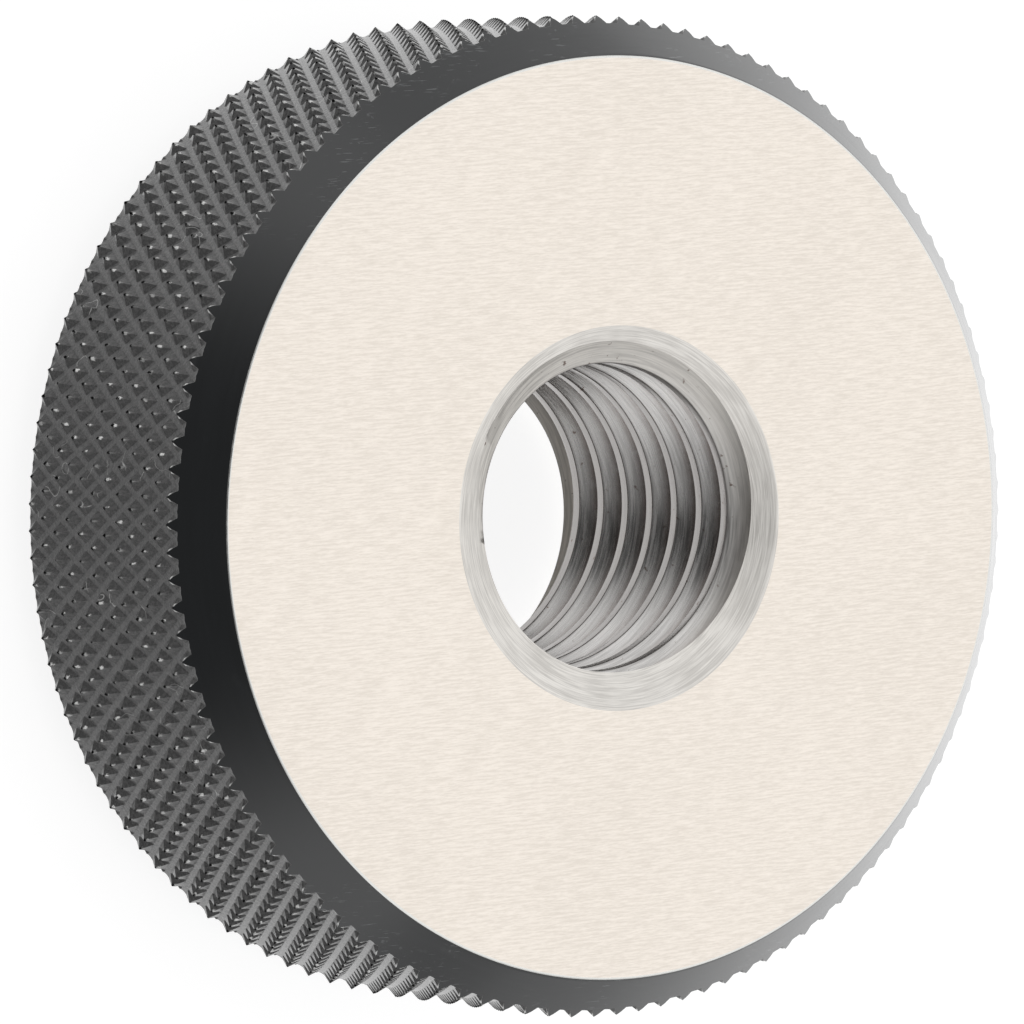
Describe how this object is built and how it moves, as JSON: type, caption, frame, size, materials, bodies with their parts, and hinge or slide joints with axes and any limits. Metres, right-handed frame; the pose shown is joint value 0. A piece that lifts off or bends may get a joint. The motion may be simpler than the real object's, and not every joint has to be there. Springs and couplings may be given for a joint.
{
  "type": "thread ring gauge",
  "caption": "Solid ring gauge with a threaded through bore, knurled rim and chamfered ground faces, for checking external screw threads.",
  "frame": {"origin": "centre of the plain ground face that the ring lies on", "axes": "+Z along the axis of the bore, up to the marked face; +X and +Y lie in the plain face, +Y towards the top of the markings"},
  "size_m": [0.045, 0.045, 0.016],
  "materials": {
    "steel": "satin"
  },
  "bodies": {
    "root": {"gauge_ring": "steel"}
  },
  "joints": []
}
